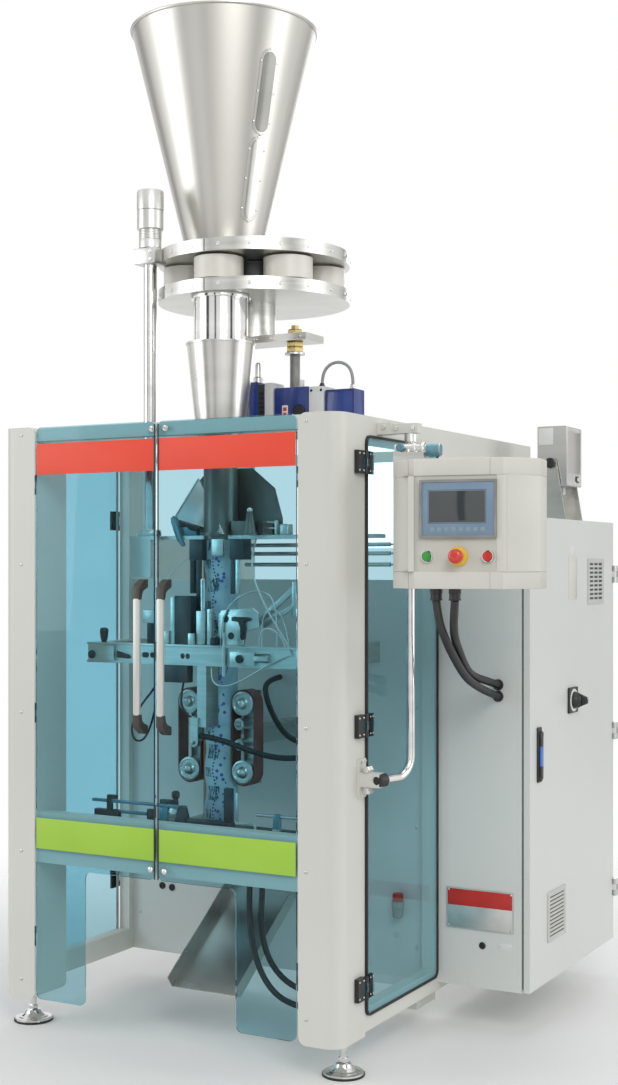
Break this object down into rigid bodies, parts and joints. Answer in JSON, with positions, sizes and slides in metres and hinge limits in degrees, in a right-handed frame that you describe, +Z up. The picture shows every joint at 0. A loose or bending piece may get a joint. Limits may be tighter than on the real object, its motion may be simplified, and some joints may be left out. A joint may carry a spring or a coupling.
{
  "type": "vertical form fill seal machine",
  "caption": "Vertical form fill seal bagging machine with tinted doors, cup doser and hopper on top, side cabinet and swivelling operator panel.",
  "frame": {"origin": "middle of the footprint at floor level", "axes": "+X to the right along the front, +Y to the back, +Z up"},
  "size_m": [1.7684, 1.546, 3.209],
  "materials": {
    "frame_paint": "fine texture powder coat",
    "steel": "brushed",
    "chrome": "polished",
    "aluminium": "satin",
    "dark_steel": "blackened",
    "tinted_sheet": "tinted polycarbonate",
    "black_plastic": "fine texture",
    "cream_plastic": "smooth",
    "blue_paint": "gloss",
    "red_plastic": "smooth",
    "green_plastic": "smooth",
    "yellow_plastic": "smooth",
    "screen": "glossy screen",
    "belt_rubber": "matt",
    "brass": "turned",
    "film": "printed film",
    "hose": "corrugated",
    "grey_cable": "smooth"
  },
  "bodies": {
    "root": {"side_frame_right": "frame_paint", "side_frame_left": "frame_paint", "cross_beams": "frame_paint", "inner_wall": "frame_paint", "levelling_feet": "steel", "front_hinges": "dark_steel", "side_hinges": "black_plastic", "cabinet_body": "frame_paint", "cabinet_hinges": "steel", "display_box": "steel", "display_bracket": "steel", "support_tube": "steel", "tube_brackets": "frame_paint", "doser_column": "chrome", "turret_plate_upper": "aluminium", "turret_plate_lower": "aluminium", "hopper": "steel", "drop_tube": "chrome", "feed_funnel": "steel", "forming_tube": "steel", "turret_bearing": "aluminium", "adjusting_screw": "brass", "top_platform": "frame_paint", "doser_drive": "blue_paint", "forming_plate": "steel", "forming_shoulder": "steel", "seal_arm": "aluminium", "film_sleeve": "film", "belt_unit_left": "steel", "belt_unit_right": "steel", "pull_belts": "belt_rubber", "jaw_guides": "steel", "discharge_chute": "steel", "panel_conduit_left": "hose", "panel_conduit_right": "hose", "drive_cable": "grey_cable", "belt_hose_front": "hose", "belt_hose_rear": "hose", "loop_hose_left": "hose", "loop_hose_right": "hose"},
    "front_door_left_body": {"front_door_left": "tinted_sheet", "handle_left": "aluminium"},
    "front_door_right_body": {"front_door_right": "tinted_sheet", "handle_right": "aluminium"},
    "side_door_right_body": {"side_door_right": "tinted_sheet"},
    "side_door_left_body": {"side_door_left": "tinted_sheet"},
    "cabinet_door_body": {"cabinet_door": "frame_paint", "cabinet_latch": "black_plastic", "main_switch_plate": "black_plastic"},
    "main_switch_body": {"main_switch_knob": "black_plastic"},
    "panel_body": {"panel_clamp": "aluminium", "panel_housing": "frame_paint", "touch_screen": "screen", "emergency_ring": "yellow_plastic"},
    "emergency_stop_body": {"emergency_stop": "red_plastic"},
    "start_button_body": {"start_button": "green_plastic"},
    "stop_button_body": {"stop_button": "red_plastic"},
    "cups_body": {"measuring_cups": "cream_plastic"},
    "jaw_front_body": {"seal_jaw_front": "dark_steel"},
    "jaw_rear_body": {"seal_jaw_rear": "dark_steel"}
  },
  "joints": [
    {"name": "front_door_left_swing", "type": "hinge", "parent": "root", "child": "front_door_left_body", "pos_m": [-0.71971, -0.727, 1], "axis": [0, 0, -1], "range_deg": [0, 110]},
    {"name": "front_door_right_swing", "type": "hinge", "parent": "root", "child": "front_door_right_body", "pos_m": [0.21229, -0.727, 1], "axis": [0, 0, 1], "range_deg": [0, 110]},
    {"name": "side_door_right_swing", "type": "hinge", "parent": "root", "child": "side_door_right_body", "pos_m": [0.36029, -0.587, 1], "axis": [0, 0, -1], "range_deg": [0, 20]},
    {"name": "side_door_left_swing", "type": "hinge", "parent": "root", "child": "side_door_left_body", "pos_m": [-0.86771, -0.087, 1], "axis": [0, 0, -1], "range_deg": [0, 110]},
    {"name": "cabinet_door_swing", "type": "hinge", "parent": "root", "child": "cabinet_door_body", "pos_m": [0.66129, 0.755, 0.9], "axis": [0, 0, 1], "range_deg": [0, 110]},
    {"name": "main_switch_turn", "type": "hinge", "parent": "cabinet_door_body", "child": "main_switch_body", "pos_m": [0.66329, 0.323, 1.01], "axis": [-1, 0, 0], "range_deg": [0, 90]},
    {"name": "panel_swivel", "type": "hinge", "parent": "root", "child": "panel_body", "pos_m": [0.44229, -0.465, 1.7], "axis": [0, 0, 1], "range_deg": [-30, 50]},
    {"name": "emergency_stop_press", "type": "slide", "parent": "panel_body", "child": "emergency_stop_body", "axis": [-0.1564, 0.9877, 0], "range_m": [0, 0.004]},
    {"name": "start_button_press", "type": "slide", "parent": "panel_body", "child": "start_button_body", "axis": [-0.1564, 0.9877, 0], "range_m": [0, 0.003], "stiffness_N_per_m": 500},
    {"name": "stop_button_press", "type": "slide", "parent": "panel_body", "child": "stop_button_body", "axis": [-0.1564, 0.9877, 0], "range_m": [0, 0.003], "stiffness_N_per_m": 500},
    {"name": "cups_turn", "type": "hinge", "parent": "root", "child": "cups_body", "pos_m": [-0.25371, -0.182, 2.38], "axis": [0, 0, 1], "continuous": true},
    {"name": "jaw_front_close", "type": "slide", "parent": "root", "child": "jaw_front_body", "axis": [0, 1, 0], "range_m": [0, 0.017]},
    {"name": "jaw_rear_close", "type": "slide", "parent": "root", "child": "jaw_rear_body", "axis": [0, -1, 0], "range_m": [0, 0.017]}
  ]
}
